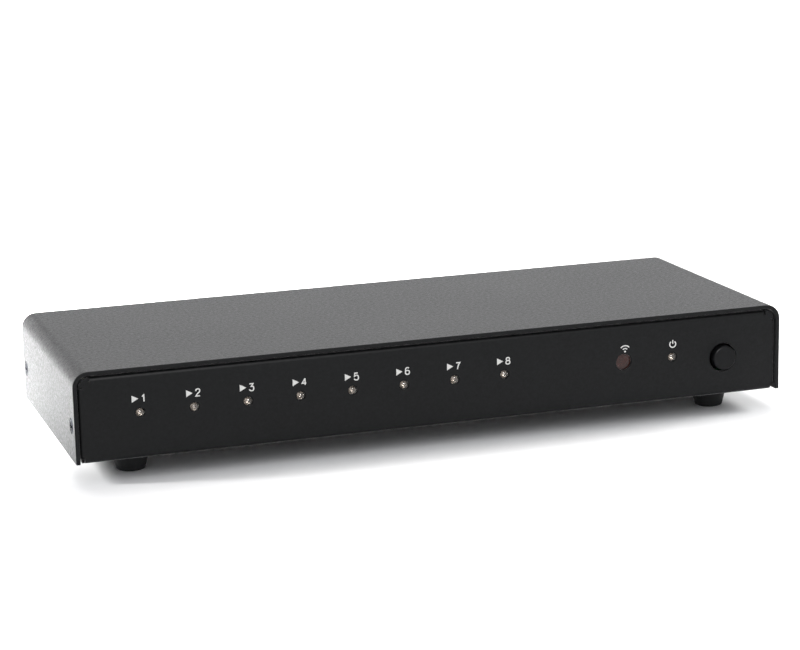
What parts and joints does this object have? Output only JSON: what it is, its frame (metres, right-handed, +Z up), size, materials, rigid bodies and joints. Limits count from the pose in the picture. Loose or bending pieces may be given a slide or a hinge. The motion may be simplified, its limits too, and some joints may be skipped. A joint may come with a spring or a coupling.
{
  "type": "video switch box",
  "caption": "Low black sheet-metal box that switches video sources to a screen, with indicator lights, a remote eye and a push button in front and sockets along the rear.",
  "frame": {"origin": "on the table under the middle of the box", "axes": "+X runs along the front to the right as seen from the front, +Y runs to the rear, +Z is up"},
  "size_m": [0.2666, 0.103, 0.0396],
  "materials": {
    "powder_coat": "fine textured black powder coat",
    "black_screw": "blackened steel",
    "zinc_steel": "bright zinc plate",
    "foot_rubber": "matt moulded rubber",
    "board_laminate": "green solder mask",
    "clear_epoxy": "clear cast epoxy",
    "tinted_acrylic": "dark red-brown tint",
    "button_plastic": "moulded black plastic",
    "pale_plastic": "natural moulded plastic",
    "black_resin": "glass-filled moulding resin",
    "nickel_plate": "nickel plate",
    "gold_plate": "thin gold plate",
    "chip_resin": "moulded chip resin",
    "can_aluminium": "bare aluminium can",
    "white_ink": "white screen-printed ink on the front panel"
  },
  "bodies": {
    "case": {"cover": "powder_coat", "chassis": "powder_coat", "cover_screws": "black_screw", "foot_front_left": "foot_rubber", "foot_front_right": "foot_rubber", "foot_rear_left": "foot_rubber", "foot_rear_right": "foot_rubber", "foot_screws": "zinc_steel", "main_board": "board_laminate", "board_standoffs": "zinc_steel", "board_screws": "zinc_steel", "input_light_1": "clear_epoxy", "input_light_2": "clear_epoxy", "input_light_3": "clear_epoxy", "input_light_4": "clear_epoxy", "input_light_5": "clear_epoxy", "input_light_6": "clear_epoxy", "input_light_7": "clear_epoxy", "input_light_8": "clear_epoxy", "power_light": "clear_epoxy", "lead_wires": "nickel_plate", "eye_window": "tinted_acrylic", "eye_receiver": "tinted_acrylic", "switch_body": "button_plastic", "switch_base": "black_resin", "switch_spring": "zinc_steel", "input_shell_1": "nickel_plate", "input_shell_2": "nickel_plate", "input_shell_3": "nickel_plate", "input_shell_4": "nickel_plate", "input_shell_5": "nickel_plate", "input_shell_6": "nickel_plate", "input_shell_7": "nickel_plate", "input_shell_8": "nickel_plate", "output_shell": "nickel_plate", "input_tongue_1": "black_resin", "input_tongue_2": "black_resin", "input_tongue_3": "black_resin", "input_tongue_4": "black_resin", "input_tongue_5": "black_resin", "input_tongue_6": "black_resin", "input_tongue_7": "black_resin", "input_tongue_8": "black_resin", "output_tongue": "black_resin", "socket_contacts": "gold_plate", "power_jack_body": "black_resin", "power_jack_pin": "nickel_plate", "power_jack_contacts": "nickel_plate", "switch_chip_1": "chip_resin", "switch_chip_2": "chip_resin", "switch_chip_3": "chip_resin", "controller_chip": "chip_resin", "crystal": "nickel_plate", "voltage_regulator": "chip_resin", "power_inductor": "chip_resin", "power_capacitors": "can_aluminium"},
    "button": {"button_cap": "button_plastic", "button_stem": "pale_plastic"}
  },
  "joints": [
    {"name": "button_press", "type": "slide", "parent": "case", "child": "button", "axis": [0, 1, 0], "range_m": [0, 0.0015], "stiffness_N_per_m": 400, "springref_m": -0.003, "deforming": ["switch_spring"]}
  ]
}
